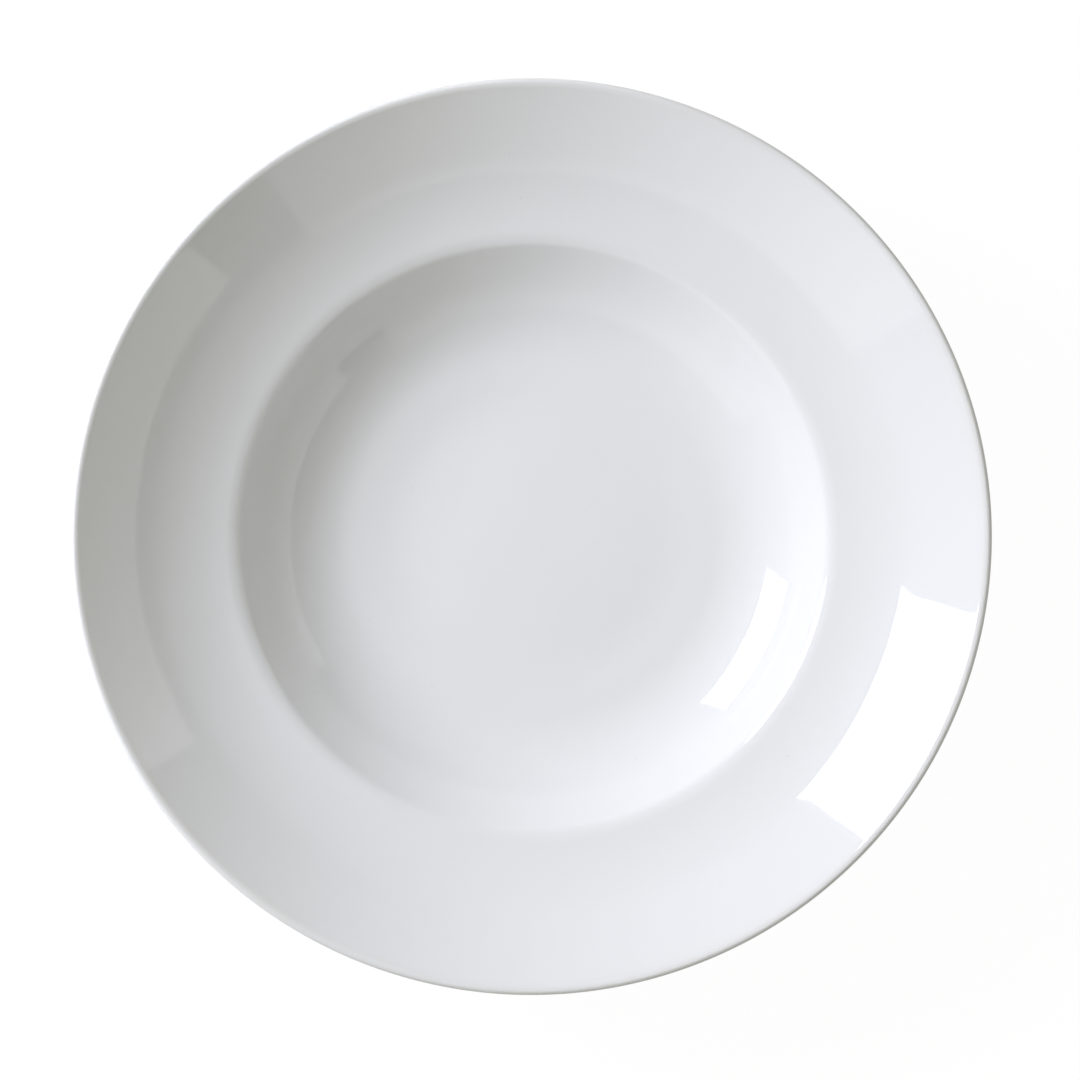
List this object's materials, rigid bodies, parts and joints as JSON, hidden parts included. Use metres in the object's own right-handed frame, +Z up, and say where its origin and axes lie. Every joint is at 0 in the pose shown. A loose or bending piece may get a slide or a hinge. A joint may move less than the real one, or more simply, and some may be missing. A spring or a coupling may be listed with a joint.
{
  "type": "pasta bowl",
  "caption": "Wide-rimmed round pasta bowl in white glazed porcelain: raised concave rim, soft shoulder, round well with a flat floor, and a bare foot ring to stand on.",
  "frame": {"origin": "centre of the plane that the foot ring stands on, which is the lowest plane of the bowl", "axes": "+Z up along the bowl's axis of revolution; +X and +Y are any two square directions in the standing plane"},
  "size_m": [0.3, 0.3, 0.0643],
  "materials": {
    "porcelain": "matte, fine-grained fired body, ground smooth on the standing face",
    "glaze": "clear gloss glaze over white porcelain, reads as cool white"
  },
  "bodies": {
    "root": {"porcelain_body": "porcelain", "glaze_coat": "glaze", "foot_recess_glaze": "glaze"}
  },
  "joints": []
}
